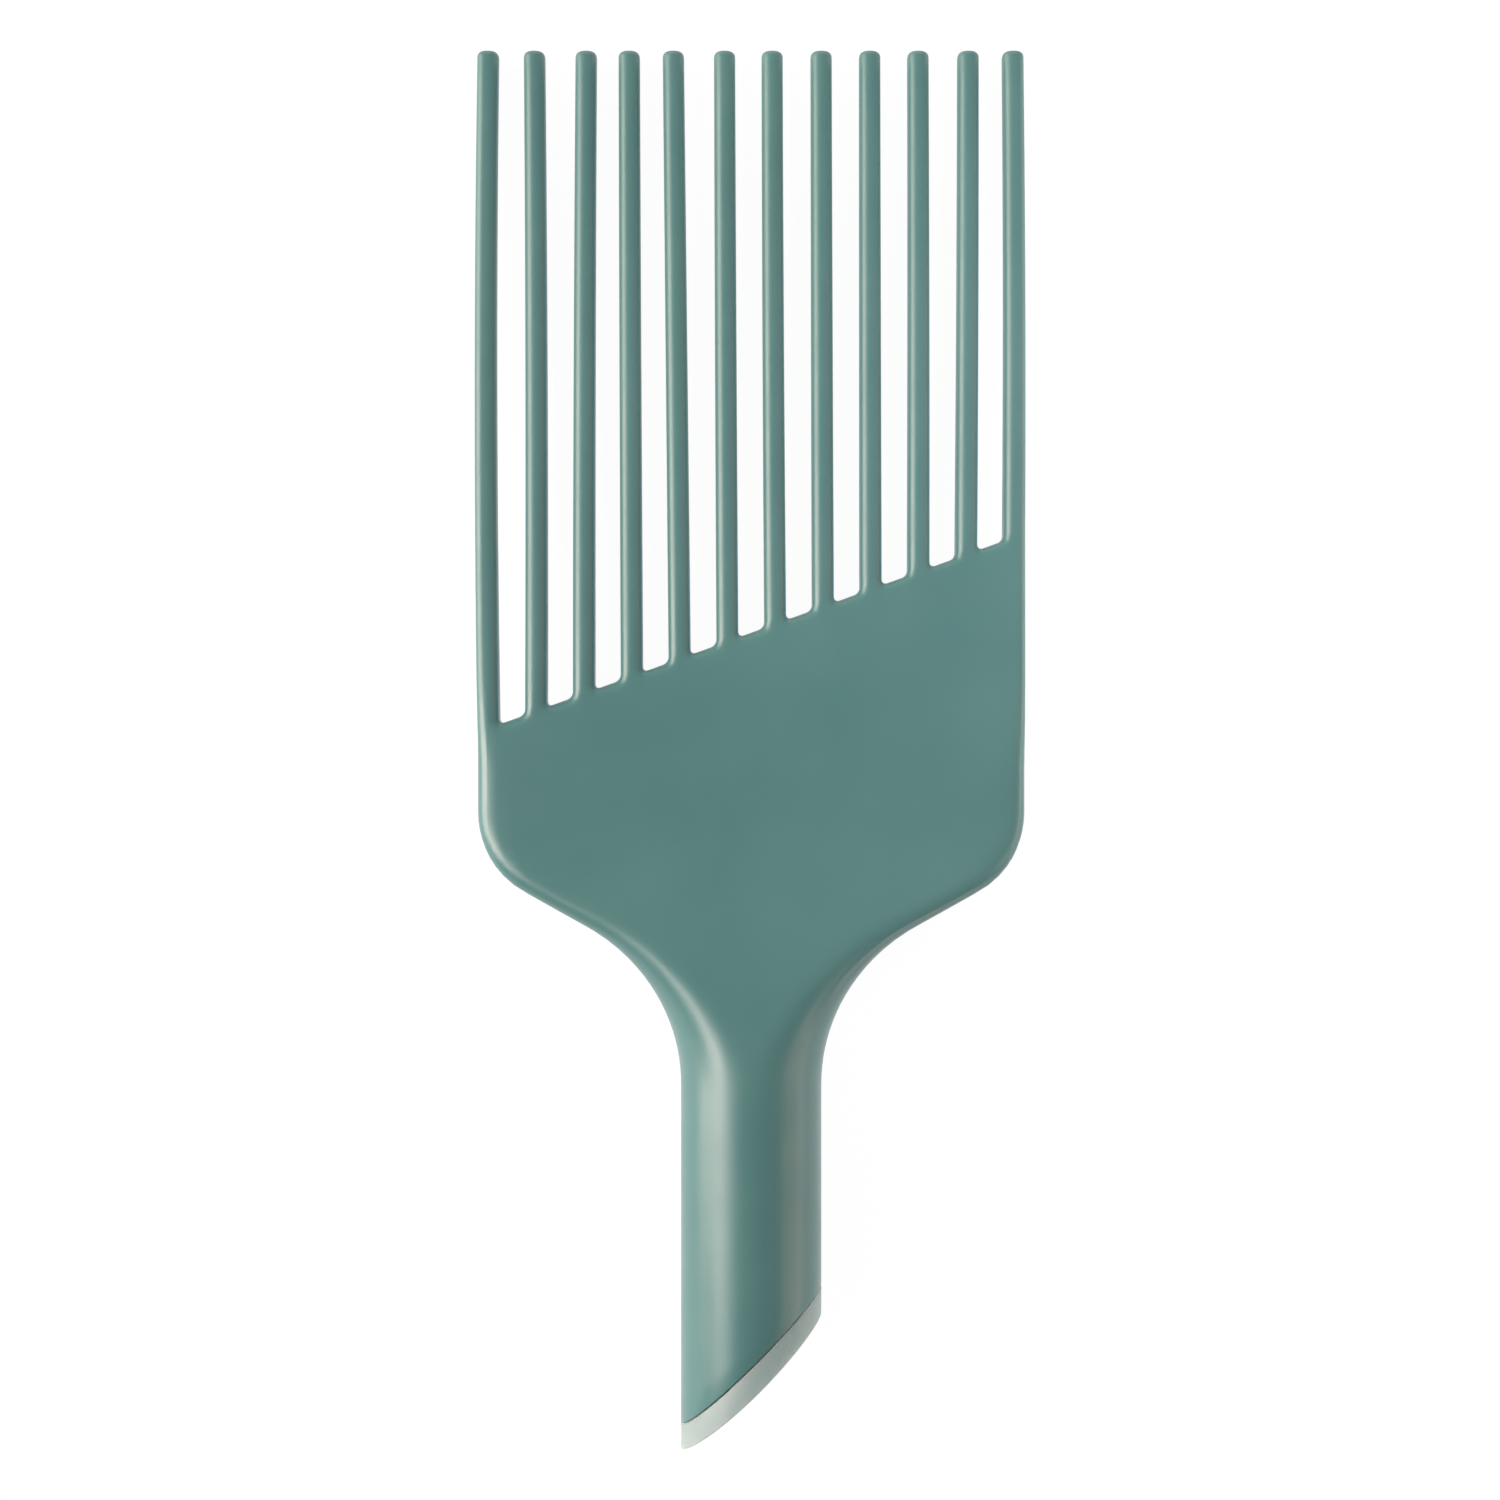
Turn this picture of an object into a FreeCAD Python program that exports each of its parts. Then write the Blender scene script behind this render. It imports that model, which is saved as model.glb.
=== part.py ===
# Afro pick in two pieces: a one-piece moulded comb with a hollow round grip, and the cap in the grip's end.
#
# Each piece is drawn in the pick's own axes: X across the tines, Y along the pick towards the tine tips,
# Z through its thickness. Zero is on the grip's axis, where the round grip ends and the neck begins.
# At the end both pieces are laid down together, as the pick lies on a table: on its grip and its tine tips.
import FreeCAD, Part
import math
import os
import Sketcher

Vector = FreeCAD.Vector

# The driving sizes, in millimetres. A name that ends in slant is in degrees, one in share is a fraction.
SIZES = {
    "tine_count": "12",
    "tine_length": "95.55",
    "tine_width": "3.62",
    "tine_tip_width": "3.49",
    "tine_tip_thickness": "4.4",
    "tine_edge_round": "1.5",
    "tine_tip_round": "0.9",
    "slot_corner_round": "0.9",
    "root_slant": "20.0",
    "paddle_width": "90.0",
    "paddle_depth": "29.5",
    "paddle_thickness": "6.0",
    "paddle_rim_round": "2.0",
    "shoulder_radius": "14.8",
    "neck_radius": "29.65",
    "neck_slant": "61.0",
    "neck_section_count": "16",
    "neck_round_share": "0.76",
    "neck_flat_share": "0.05",
    "grip_diameter": "23.1",
    "grip_length": "44.2",
    "grip_wall": "2.6",
    "end_slant": "44.5",
    "core_setback": "2.2",
    "core_end_round": "3.0",
    "joint_edge_round": "0.25",
    "cap_thickness": "5.2",
    "cap_crown": "0.9",
    "cap_edge_round": "0.4",
    "spigot_length": "7.0",
    "spigot_wall": "1.8",
    "spigot_clearance": "0.08",
    "round_limit_share": "0.47",
    "cut_overrun": "2.0",
    "match_tolerance": "0.02",
}

# Lengths that follow from the driving sizes, written once as formulas for the sheet.
GRIP_RADIUS = "(Sheet.grip_diameter / 2)"
HALF_WIDTH = "(Sheet.paddle_width / 2)"
BEND_SUM = "(Sheet.shoulder_radius + Sheet.neck_radius)"
SLANT_RUN = (
    f"(({HALF_WIDTH} - {GRIP_RADIUS} - {BEND_SUM} * (1 - cos(Sheet.neck_slant))) / sin(Sheet.neck_slant))"
)
NECK_LENGTH = f"({BEND_SUM} * sin(Sheet.neck_slant) + {SLANT_RUN} * cos(Sheet.neck_slant))"
ROOT_MIDDLE = f"({NECK_LENGTH} + Sheet.paddle_depth)"
HEAD_LENGTH = f"({ROOT_MIDDLE} + Sheet.tine_length)"
PITCH = "((Sheet.paddle_width - Sheet.tine_width) / (Sheet.tine_count - 1))"
FIRST_SLOT = f"(-{PITCH} * (Sheet.tine_count - 2) / 2)"
ROOT_HALF_SLOT = f"(({PITCH} - Sheet.tine_width) / 2)"
TIP_HALF_SLOT = f"(({PITCH} - Sheet.tine_tip_width) / 2)"
CORE_RADIUS = f"({GRIP_RADIUS} - Sheet.grip_wall)"
SPIGOT_RADIUS = f"({CORE_RADIUS} - Sheet.spigot_clearance)"
CUT_REACH = f"({GRIP_RADIUS} + Sheet.cut_overrun)"
SLANT_DROP = f"({CUT_REACH} * tan(Sheet.end_slant))"
GRIP_REACH = f"(Sheet.grip_length + {SLANT_DROP} + Sheet.cap_thickness + Sheet.cut_overrun)"

# Roundings, each held within the wall that carries it.
LIMIT = "Sheet.round_limit_share"
TINE_EDGE_ROUND = (
    f"min(Sheet.tine_edge_round; Sheet.tine_tip_width * {LIMIT}; Sheet.tine_tip_thickness * {LIMIT})"
)
RIM_ROOM = f"((Sheet.tine_tip_width - {TINE_EDGE_ROUND}) * 2 * {LIMIT})"
RIM_ROUND = f"min(Sheet.paddle_rim_round; {RIM_ROOM}; Sheet.tine_tip_thickness * {LIMIT})"
TINE_TIP_ROUND = f"min(Sheet.tine_tip_round; {TINE_EDGE_ROUND} * 2 * {LIMIT})"
SLOT_CORNER_ROUND = f"min(Sheet.slot_corner_round; {ROOT_HALF_SLOT} * 2 * {LIMIT})"
CORE_END_ROUND = f"min(Sheet.core_end_round; {CORE_RADIUS} * {LIMIT})"
JOINT_EDGE_ROUND = f"min(Sheet.joint_edge_round; Sheet.grip_wall * {LIMIT})"
CAP_EDGE_ROUND = f"min(Sheet.cap_edge_round; Sheet.cap_thickness * {LIMIT})"

doc = FreeCAD.newDocument("afro_pick")
sheet = doc.addObject("Spreadsheet::Sheet", "Sheet")
for row, (alias, number) in enumerate(SIZES.items(), start=1):
    sheet.set(f"A{row}", number)
    sheet.setAlias(f"A{row}", alias)
doc.recompute()


def measure(formula):
    """The value of a formula over the sheet's sizes."""
    return sheet.evalExpression(formula)


def bind(item, **formulas):
    """Tie properties of a document object to formulas over the sheet's sizes."""
    for name, formula in formulas.items():
        item.setExpression(name, formula)


def root_line(x_formula):
    """Height of the slanted line of tine roots at a place across the paddle."""
    return f"({ROOT_MIDDLE} + {x_formula} * tan(Sheet.root_slant))"


def joint_line(x_formula, lift="0"):
    """Height of the slanted joint between grip and cap at a place across the grip, moved up by lift."""
    return f"({x_formula} * tan(Sheet.end_slant) - Sheet.grip_length + {lift})"


def sketch_on(body, name, role):
    """A new sketch of a body on its own origin plane of the given role."""
    plane = next(item for item in body.Origin.OriginFeatures if item.Role == role)
    sketch = body.newObject("Sketcher::SketchObject", name)
    sketch.AttachmentSupport = (plane, "")
    sketch.MapMode = "FlatFace"
    return sketch


def dimension(sketch, name, formula, kind, *place):
    """Add a dimension to a sketch and tie it to a formula."""
    index = sketch.addConstraint(Sketcher.Constraint(kind, *place, measure(formula)))
    sketch.renameConstraint(index, name)
    sketch.setExpression(f"Constraints.{name}", formula)


def pin_point(sketch, name, line, end, corner):
    """Hold one end of a line at a pair of formulas from the sketch's origin."""
    across, along = corner
    dimension(sketch, f"{name}_across", across, "DistanceX", -1, 1, line, end)
    dimension(sketch, f"{name}_along", along, "DistanceY", -1, 1, line, end)


def draw_line(sketch, start, end, construction=False):
    """Draw a line between two corners given as pairs of formulas."""
    points = [Vector(measure(across), measure(along)) for across, along in (start, end)]
    return sketch.addGeometry(Part.LineSegment(*points), construction)


def draw_crown(sketch, start, end, radius):
    """Draw an arc between two corners that turns left on its way from the first to the second."""
    first, last = [Vector(measure(across), measure(along)) for across, along in (start, end)]
    span = last - first
    reach = math.sqrt(measure(radius) ** 2 - span.Length ** 2 / 4)
    centre = (first + last) / 2 + Vector(-span.y, span.x).normalize() * reach
    angles = [math.atan2(point.y - centre.y, point.x - centre.x) for point in (first, last)]
    circle = Part.Circle(centre, Vector(0, 0, 1), measure(radius))
    arc = sketch.addGeometry(Part.ArcOfCircle(circle, *angles), False)
    dimension(sketch, "crown_radius", radius, "Radius", arc)
    return arc


def draw_outline(sketch, corners, first_side=None):
    """Draw a closed outline of lines; its first side, between the first two corners, may be drawn already."""
    if first_side is None:
        first_side = draw_line(sketch, corners[0], corners[1])
    pairs = list(zip(corners, corners[1:] + corners[:1]))
    sides = [first_side] + [draw_line(sketch, start, end) for start, end in pairs[1:]]
    for side, following in zip(sides, sides[1:] + sides[:1]):
        sketch.addConstraint(Sketcher.Constraint("Coincident", side, 2, following, 1))
    for number, (side, corner) in enumerate(zip(sides[1:], corners[1:]), start=1):
        pin_point(sketch, f"corner{number}", side, 1, corner)
    pin_point(sketch, "corner0", sides[-1], 2, corners[0])


def draw_circle(sketch, name, radius):
    """Draw a circle round the sketch's origin."""
    circle = sketch.addGeometry(Part.Circle(Vector(), Vector(0, 0, 1), measure(radius)), False)
    sketch.addConstraint(Sketcher.Constraint("Coincident", circle, 3, -1, 1))
    dimension(sketch, name, radius, "Radius", circle)


def pocket_through(body, sketch, name):
    """Cut a sketch right through a body, to both sides of the sketch's plane."""
    pocket = body.newObject("PartDesign::Pocket", name)
    pocket.Profile = sketch
    pocket.Type = "ThroughAll"
    pocket.Midplane = True
    return pocket


def must_shrink(body, volume_before, what):
    """Stop if a cut took nothing away."""
    doc.recompute()
    volume = body.Shape.Volume
    if not volume < volume_before:
        raise ValueError(f"{what} cut nothing")
    return volume


def round_edges(body, name, radius, wanted):
    """Round every edge of a body's last feature that the test wanted accepts."""
    doc.recompute()
    base = body.Tip
    names = [f"Edge{i}" for i, edge in enumerate(base.Shape.Edges, start=1) if wanted(edge)]
    fillet = body.newObject("PartDesign::Fillet", name)
    fillet.Base = (base, names)
    bind(fillet, Radius=radius)
    body.Tip = fillet
    doc.recompute()
    print(f"{name}: {len(names)} edges rounded by {fillet.Radius.Value:.2f} mm")


def middle_of(edge):
    """Point half way along an edge."""
    return edge.valueAt((edge.FirstParameter + edge.LastParameter) / 2)


def meet(first, second):
    """Whether two lengths are the same."""
    return abs(first - second) < sheet.match_tolerance


# Blank of the comb: a tapered plate, the neck that leads from it to a circle, and a round bar for the grip.


def ease(share):
    """A smooth step from 0 to 1."""
    held = max(0.0, min(1.0, share))
    return held * held * (3 - 2 * held)


def neck_outline(height):
    """Half width of the neck at a height, and how fast it widens there."""
    shoulder, neck = sheet.shoulder_radius, sheet.neck_radius
    slant = math.radians(sheet.neck_slant)
    neck_top = neck * math.sin(slant)
    shoulder_start = neck_top + measure(SLANT_RUN) * math.cos(slant)
    if height < neck_top:
        drop = math.sqrt(neck * neck - height * height)
        return measure(GRIP_RADIUS) + neck - drop, height / drop
    if height < shoulder_start:
        flare = math.tan(slant)
        return measure(GRIP_RADIUS) + neck * (1 - math.cos(slant)) + (height - neck_top) * flare, flare
    below = measure(NECK_LENGTH) - height
    drop = math.sqrt(shoulder * shoulder - below * below)
    return measure(HALF_WIDTH) - shoulder + drop, below / drop


def stand_up(wire, height):
    """Turn a flat section upright, across the pick at a height."""
    wire.Placement = FreeCAD.Placement(Vector(0, height, 0), FreeCAD.Rotation(Vector(1, 0, 0), 90))
    return wire


def neck_section(height):
    """The neck's section at a height: a rectangle with oval corners that grow until they meet at the grip."""
    grip, length, rim = measure(GRIP_RADIUS), measure(NECK_LENGTH), measure(RIM_ROUND)
    flat = grip * sheet.neck_flat_share
    half_width, flare = neck_outline(height)
    half_plate = sheet.paddle_thickness / 2
    half_depth = half_plate + (grip - half_plate) * ease(1 - height / length)
    rounding = rim + (grip - flat - rim) * ease(1 - height / (length * sheet.neck_round_share))
    tall = min(rounding, half_depth - flat)
    wide = max(tall, min(rounding * math.hypot(1, flare), half_width - flat))
    arcs = []
    for quarter, (side, face) in enumerate(((1, 1), (-1, 1), (-1, -1), (1, -1))):
        oval = Part.Ellipse(Vector(side * (half_width - wide), face * (half_depth - tall)), wide, tall)
        arcs.append(Part.ArcOfEllipse(oval, quarter * math.pi / 2, (quarter + 1) * math.pi / 2))
    edges = []
    for arc, following in zip(arcs, arcs[1:] + arcs[:1]):
        edges += [arc.toShape(), Part.LineSegment(arc.EndPoint, following.StartPoint).toShape()]
    return stand_up(Part.Wire(edges), height)


def grip_section():
    """The circle where neck and grip meet, in as many arcs as a neck section has sides."""
    circle = Part.Circle(Vector(), Vector(0, 0, 1), measure(GRIP_RADIUS))
    turn = math.asin(sheet.neck_flat_share)
    edges = []
    for quarter in range(4):
        start, end = quarter * math.pi / 2, (quarter + 1) * math.pi / 2
        edges.append(Part.ArcOfCircle(circle, start + turn, end - turn).toShape())
        edges.append(Part.ArcOfCircle(circle, end - turn, end + turn).toShape())
    return stand_up(Part.Wire(edges), 0)


def runs_along(edge):
    """Whether an edge goes from one end of the head plate to the other."""
    first, last = edge.Vertexes[0].Point, edge.Vertexes[-1].Point
    return not meet(first.y, last.y)


def make_plate():
    """The flat head before its slots: a plate that thins towards the tips, its two rims rounded."""
    wedge = doc.addObject("Part::Wedge", "HeadPlate")
    bind(wedge, Xmin=f"-{HALF_WIDTH}", Xmax=HALF_WIDTH, X2min=f"-{HALF_WIDTH}", X2max=HALF_WIDTH)
    bind(wedge, Ymin=NECK_LENGTH, Ymax=HEAD_LENGTH)
    bind(wedge, Zmin="-Sheet.paddle_thickness / 2", Zmax="Sheet.paddle_thickness / 2")
    bind(wedge, Z2min="-Sheet.tine_tip_thickness / 2", Z2max="Sheet.tine_tip_thickness / 2")
    doc.recompute()
    plate = doc.addObject("Part::Fillet", "RoundedHeadPlate")
    plate.Base = wedge
    rim = measure(RIM_ROUND)
    plate.Edges = [(i, rim, rim) for i, edge in enumerate(wedge.Shape.Edges, start=1) if runs_along(edge)]
    doc.recompute()
    return plate


def make_neck(plate):
    """The neck, lofted from the plate's lower end through its own sections to the grip's circle."""
    count = int(sheet.neck_section_count)
    length = measure(NECK_LENGTH)
    plate_end = min(plate.Shape.Faces, key=lambda face: face.CenterOfMass.y)
    sections = [plate_end.OuterWire]
    sections += [neck_section(length * (1 - step / count)) for step in range(1, count)]
    sections.append(grip_section())
    neck = doc.addObject("Part::Feature", "Neck")
    neck.Shape = Part.makeLoft(sections, True, False)
    neck.Placement = FreeCAD.Placement()
    return neck


def make_blank():
    """Plate, neck and grip bar in one."""
    plate = make_plate()
    bar = doc.addObject("Part::Cylinder", "GripBar")
    bar.Placement = FreeCAD.Placement(Vector(), FreeCAD.Rotation(Vector(1, 0, 0), 90))
    bind(bar, Radius=GRIP_RADIUS, Height=GRIP_REACH)
    blank = doc.addObject("Part::MultiFuse", "CombBlank")
    blank.Shapes = [plate, make_neck(plate), bar]
    blank.Refine = True
    doc.recompute()
    return blank


# The comb: slots between the tines, the grip's slanted end and hollow core, and every edge rounded.


def cut_slots(body):
    """One slot with a slanted bottom, repeated along the line of roots."""
    sketch = sketch_on(body, "SlotOutline", "XY_Plane")
    left, right = f"({FIRST_SLOT} - {ROOT_HALF_SLOT})", f"({FIRST_SLOT} + {ROOT_HALF_SLOT})"
    top = f"{HEAD_LENGTH} + Sheet.cut_overrun"
    draw_outline(sketch, [
        (left, root_line(left)),
        (right, root_line(right)),
        (f"{FIRST_SLOT} + {TIP_HALF_SLOT}", top),
        (f"{FIRST_SLOT} - {TIP_HALF_SLOT}", top),
    ])
    here, there = (FIRST_SLOT, root_line(FIRST_SLOT)), ("0", root_line("0"))
    way = draw_line(sketch, here, there, construction=True)
    pin_point(sketch, "way_start", way, 1, here)
    pin_point(sketch, "way_end", way, 2, there)
    slot = pocket_through(body, sketch, "Slot")
    doc.recompute()
    slots = body.newObject("PartDesign::LinearPattern", "Slots")
    slots.Originals = [slot]
    slots.Direction = (sketch, ["Axis0"])
    bind(slots, Length=f"{PITCH} * (Sheet.tine_count - 2) / cos(Sheet.root_slant)")
    bind(slots, Occurrences="Sheet.tine_count - 1")
    body.Tip = slots


def slant_end(body):
    """Cut the grip's end along the joint with the cap."""
    sketch = sketch_on(body, "SlantedEnd", "XY_Plane")
    bottom = f"-({GRIP_REACH} + Sheet.cut_overrun)"
    draw_outline(sketch, [
        (f"-{CUT_REACH}", joint_line(f"-{CUT_REACH}")),
        (f"-{CUT_REACH}", bottom),
        (CUT_REACH, bottom),
        (CUT_REACH, joint_line(CUT_REACH)),
    ])
    body.Tip = pocket_through(body, sketch, "EndCut")


def bore_core(body):
    """The blind hole that a core leaves in the grip, open at the slanted end."""
    sketch = sketch_on(body, "CoreCircle", "XZ_Plane")
    sketch.setExpression("AttachmentOffset.Base.z", "Sheet.core_setback")
    draw_circle(sketch, "core_radius", CORE_RADIUS)
    core = body.newObject("PartDesign::Pocket", "Core")
    core.Profile = sketch
    core.Type = "ThroughAll"
    core.Reversed = True
    body.Tip = core


def is_slot_corner(edge):
    """An edge through the plate at the bottom of a slot."""
    spot, way = middle_of(edge), edge.tangentAt(edge.FirstParameter)
    upright = meet(way.x, 0) and meet(way.y, 0)
    among_tines = abs(spot.x) < measure(HALF_WIDTH) - sheet.match_tolerance
    below_tips = measure(NECK_LENGTH) < spot.y < measure(HEAD_LENGTH) - sheet.match_tolerance
    return upright and among_tines and below_tips


def is_slot_rim(edge):
    """An edge of a slot on the head's front or back."""
    spot = middle_of(edge)
    among_tines = abs(spot.x) < measure(HALF_WIDTH) - measure(RIM_ROUND) - sheet.match_tolerance
    below_tips = measure(NECK_LENGTH) < spot.y - sheet.match_tolerance
    below_tips = below_tips and spot.y < measure(HEAD_LENGTH) - sheet.match_tolerance
    return among_tines and below_tips and abs(spot.z) > sheet.tine_tip_thickness * sheet.round_limit_share


def is_tine_tip(edge):
    """An edge round the flat end of a tine."""
    return all(meet(vertex.Point.y, measure(HEAD_LENGTH)) for vertex in edge.Vertexes)


def is_core_end(edge):
    """The edge of the core's blind end."""
    spot = middle_of(edge)
    return meet(-spot.y, sheet.core_setback) and meet(math.hypot(spot.x, spot.z), measure(CORE_RADIUS))


def is_joint_rim(edge):
    """The outer edge of the slanted joint, on comb and cap alike."""
    spot = middle_of(edge)
    on_joint = meet(spot.y, measure(joint_line(f"({spot.x})")))
    return on_joint and meet(math.hypot(spot.x, spot.z), measure(GRIP_RADIUS))


def make_comb():
    """The one-piece comb: tines, paddle, neck and hollow grip."""
    body = doc.addObject("PartDesign::Body", "Comb")
    body.Label = "comb_moulding"
    body.BaseFeature = make_blank()
    doc.recompute()
    volume = body.Shape.Volume
    cut_slots(body)
    volume = must_shrink(body, volume, "slots")
    slant_end(body)
    volume = must_shrink(body, volume, "slanted end")
    bore_core(body)
    must_shrink(body, volume, "core")
    round_edges(body, "SlotCorners", SLOT_CORNER_ROUND, is_slot_corner)
    round_edges(body, "TineEdges", TINE_EDGE_ROUND, is_slot_rim)
    round_edges(body, "TineTips", TINE_TIP_ROUND, is_tine_tip)
    round_edges(body, "CoreEnd", CORE_END_ROUND, is_core_end)
    round_edges(body, "MouthEdge", JOINT_EDGE_ROUND, is_joint_rim)
    return body


# The cap: a disc that follows the slant, crowned outside, with a short tube that plugs the core.


def cut_above(body, name, lift):
    """Cut away what stands above the joint, moved up by lift."""
    sketch = sketch_on(body, f"{name}Outline", "XY_Plane")
    top = f"{SLANT_DROP} + {lift}"
    draw_outline(sketch, [
        (f"-{CUT_REACH}", joint_line(f"-{CUT_REACH}", lift)),
        (CUT_REACH, joint_line(CUT_REACH, lift)),
        (CUT_REACH, top),
        (f"-{CUT_REACH}", top),
    ])
    body.Tip = pocket_through(body, sketch, name)


def add_disc(body):
    """A round bar of the grip's size, cut along the joint."""
    sketch = sketch_on(body, "DiscCircle", "XZ_Plane")
    draw_circle(sketch, "disc_radius", GRIP_RADIUS)
    bar = body.newObject("PartDesign::Pad", "DiscBar")
    bar.Profile = sketch
    bind(bar, Length=GRIP_REACH)
    doc.recompute()
    cut_above(body, "JointCut", "0")


def add_spigot(body):
    """A tube from the joint up into the core, cut off parallel to the joint."""
    doc.recompute()
    base = body.Tip
    joint = max(base.Shape.Faces, key=lambda face: face.normalAt(0, 0).y)
    number = next(i for i, face in enumerate(base.Shape.Faces, start=1) if face.isSame(joint))
    sketch = sketch_on(body, "SpigotRing", "XZ_Plane")
    draw_circle(sketch, "spigot_radius", SPIGOT_RADIUS)
    draw_circle(sketch, "spigot_bore", f"{SPIGOT_RADIUS} - Sheet.spigot_wall")
    tube = body.newObject("PartDesign::Pad", "SpigotTube")
    tube.Profile = sketch
    tube.Type = "UpToFace"
    tube.UpToFace = (base, [f"Face{number}"])
    body.Tip = tube
    doc.recompute()
    cut_above(body, "SpigotCut", "Sheet.spigot_length")


def crown_end(body):
    """Cut the cap's outer face to a shallow arc that is fullest in the middle."""
    half_chord = f"({CUT_REACH} / cos(Sheet.end_slant))"
    rise = f"(Sheet.cap_crown * cos(Sheet.end_slant) * ({CUT_REACH} / {GRIP_RADIUS})^2)"
    lift = f"({rise} / cos(Sheet.end_slant) - Sheet.cap_thickness)"
    bottom = f"-({GRIP_REACH} + Sheet.cut_overrun)"
    corners = [
        (f"-{CUT_REACH}", joint_line(f"-{CUT_REACH}", lift)),
        (CUT_REACH, joint_line(CUT_REACH, lift)),
        (CUT_REACH, bottom),
        (f"-{CUT_REACH}", bottom),
    ]
    radius = f"(({half_chord}^2 + {rise}^2) / (2 * {rise}))"
    sketch = sketch_on(body, "CrownedEnd", "XY_Plane")
    draw_outline(sketch, corners, draw_crown(sketch, corners[0], corners[1], radius))
    body.Tip = pocket_through(body, sketch, "EndCrown")


def is_end_rim(edge):
    """The outer edge of the cap's crowned end."""
    spot = middle_of(edge)
    below_joint = spot.y < measure(joint_line(f"({spot.x})", "-Sheet.match_tolerance"))
    curved = not isinstance(edge.Curve, Part.Line)
    return below_joint and curved and meet(math.hypot(spot.x, spot.z), measure(GRIP_RADIUS))


def make_cap():
    """The cap that closes the grip."""
    body = doc.addObject("PartDesign::Body", "Cap")
    body.Label = "end_cap"
    add_disc(body)
    add_spigot(body)
    doc.recompute()
    volume = body.Shape.Volume
    crown_end(body)
    must_shrink(body, volume, "crown")
    round_edges(body, "EndEdge", CAP_EDGE_ROUND, is_end_rim)
    round_edges(body, "CapJointEdge", JOINT_EDGE_ROUND, is_joint_rim)
    return body


def lay_down(bodies):
    """Rest the pick on its grip and its tine tips, with the middle of its box over the origin."""
    drop = measure(GRIP_RADIUS) - sheet.tine_tip_thickness / 2
    tilt = FreeCAD.Rotation(Vector(1, 0, 0), -math.degrees(math.atan2(drop, measure(HEAD_LENGTH))))
    whole = Part.makeCompound([body.Shape for body in bodies])
    whole.Placement = FreeCAD.Placement(Vector(), tilt)
    box = whole.optimalBoundingBox(False, False)
    place = FreeCAD.Placement(Vector(-box.Center.x, -box.Center.y, -box.ZMin), tilt)
    for body in bodies:
        body.Placement = place
    doc.recompute()
    print(f"laid down by {math.degrees(tilt.Angle):.3f} degrees, moved by {place.Base}")
    print(f"whole pick: {box.XLength:.2f} x {box.YLength:.2f} x {box.ZLength:.2f} mm")


def check_and_write(bodies):
    """Stop at any failed object or bad shape, then write each piece to its own file."""
    for item in doc.Objects:
        if "Invalid" in item.State or "Error" in item.State:
            raise ValueError(f"{item.Label} failed: {item.State}")
    for body in bodies:
        if body.Shape.isNull() or not body.Shape.isValid() or len(body.Shape.Solids) != 1:
            raise ValueError(f"{body.Label} is not one sound solid")
    os.makedirs("parts", exist_ok=True)
    for body in bodies:
        print(f"{body.Label}: {body.Shape.Volume:.0f} mm3")
        body.Shape.exportStep(f"parts/{body.Label}.step")


pieces = [make_comb(), make_cap()]
lay_down(pieces)
check_and_write(pieces)
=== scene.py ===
# %% [markdown]
# # A hair pick in Blender
#
# The pick is two mouldings: a comb in a teal satin plastic, whose long tines, flat paddle, curved neck and
# round grip are one piece, and a pale frosted cap that closes the grip's slanted end. The CAD frame gives the
# true sizes and the place on the table. Here both pieces are modelled again as fine meshes, with the soft
# edges, the slightly bent tines and the finishes of the real thing. Sizes are written in millimetres, as on a
# drawing, and each piece is turned into metres when it is laid on the table.

# %% Load the frame
import math

import bmesh
import bpy
from mathutils import Matrix, Vector


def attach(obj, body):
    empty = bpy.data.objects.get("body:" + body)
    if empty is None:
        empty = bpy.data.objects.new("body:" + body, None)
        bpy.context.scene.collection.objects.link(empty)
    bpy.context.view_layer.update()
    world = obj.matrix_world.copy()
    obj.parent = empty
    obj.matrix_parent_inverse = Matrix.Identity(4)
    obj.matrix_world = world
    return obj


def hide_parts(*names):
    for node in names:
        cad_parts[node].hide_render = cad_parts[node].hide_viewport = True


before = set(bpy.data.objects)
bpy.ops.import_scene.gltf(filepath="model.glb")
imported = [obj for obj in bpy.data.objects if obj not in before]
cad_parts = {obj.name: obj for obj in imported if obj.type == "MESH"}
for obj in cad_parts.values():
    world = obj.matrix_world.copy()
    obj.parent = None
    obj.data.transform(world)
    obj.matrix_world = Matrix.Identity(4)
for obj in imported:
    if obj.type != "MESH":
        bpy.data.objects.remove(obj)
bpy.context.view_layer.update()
print("nodes:", ", ".join(sorted(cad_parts)))

# %% [markdown]
# ## Laying the pick down
#
# A drawing of the pick has its own axes: X across the tines, Y along the pick, Z through its thickness, and
# zero on the grip's axis where the neck begins. On a table the pick lies on its thick grip and on its tine
# tips, so it is tipped by about three degrees. The two objects could be turned for that. Instead one matrix
# goes through every finished mesh, so that its object stays at the origin, and a pattern on Object coordinates
# keeps its place when the model is exported.

# %% One matrix from drawing to table
MM = 0.001
TIP_HEIGHT = 169.77
HALF_TIP_DEPTH = 2.2
GRIP_RADIUS = 11.55
# Where the drawing's zero lies on the table, in metres.
PLACE = (0, -0.05514621, 0.01159360)
tilt = -math.atan2(GRIP_RADIUS - HALF_TIP_DEPTH, TIP_HEIGHT)
turn = Matrix.Rotation(tilt, 4, "X")
lay_down = Matrix.Translation(PLACE) @ turn @ Matrix.Scale(MM, 4)
print("tipped by", round(math.degrees(tilt), 3), "degrees")

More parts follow.
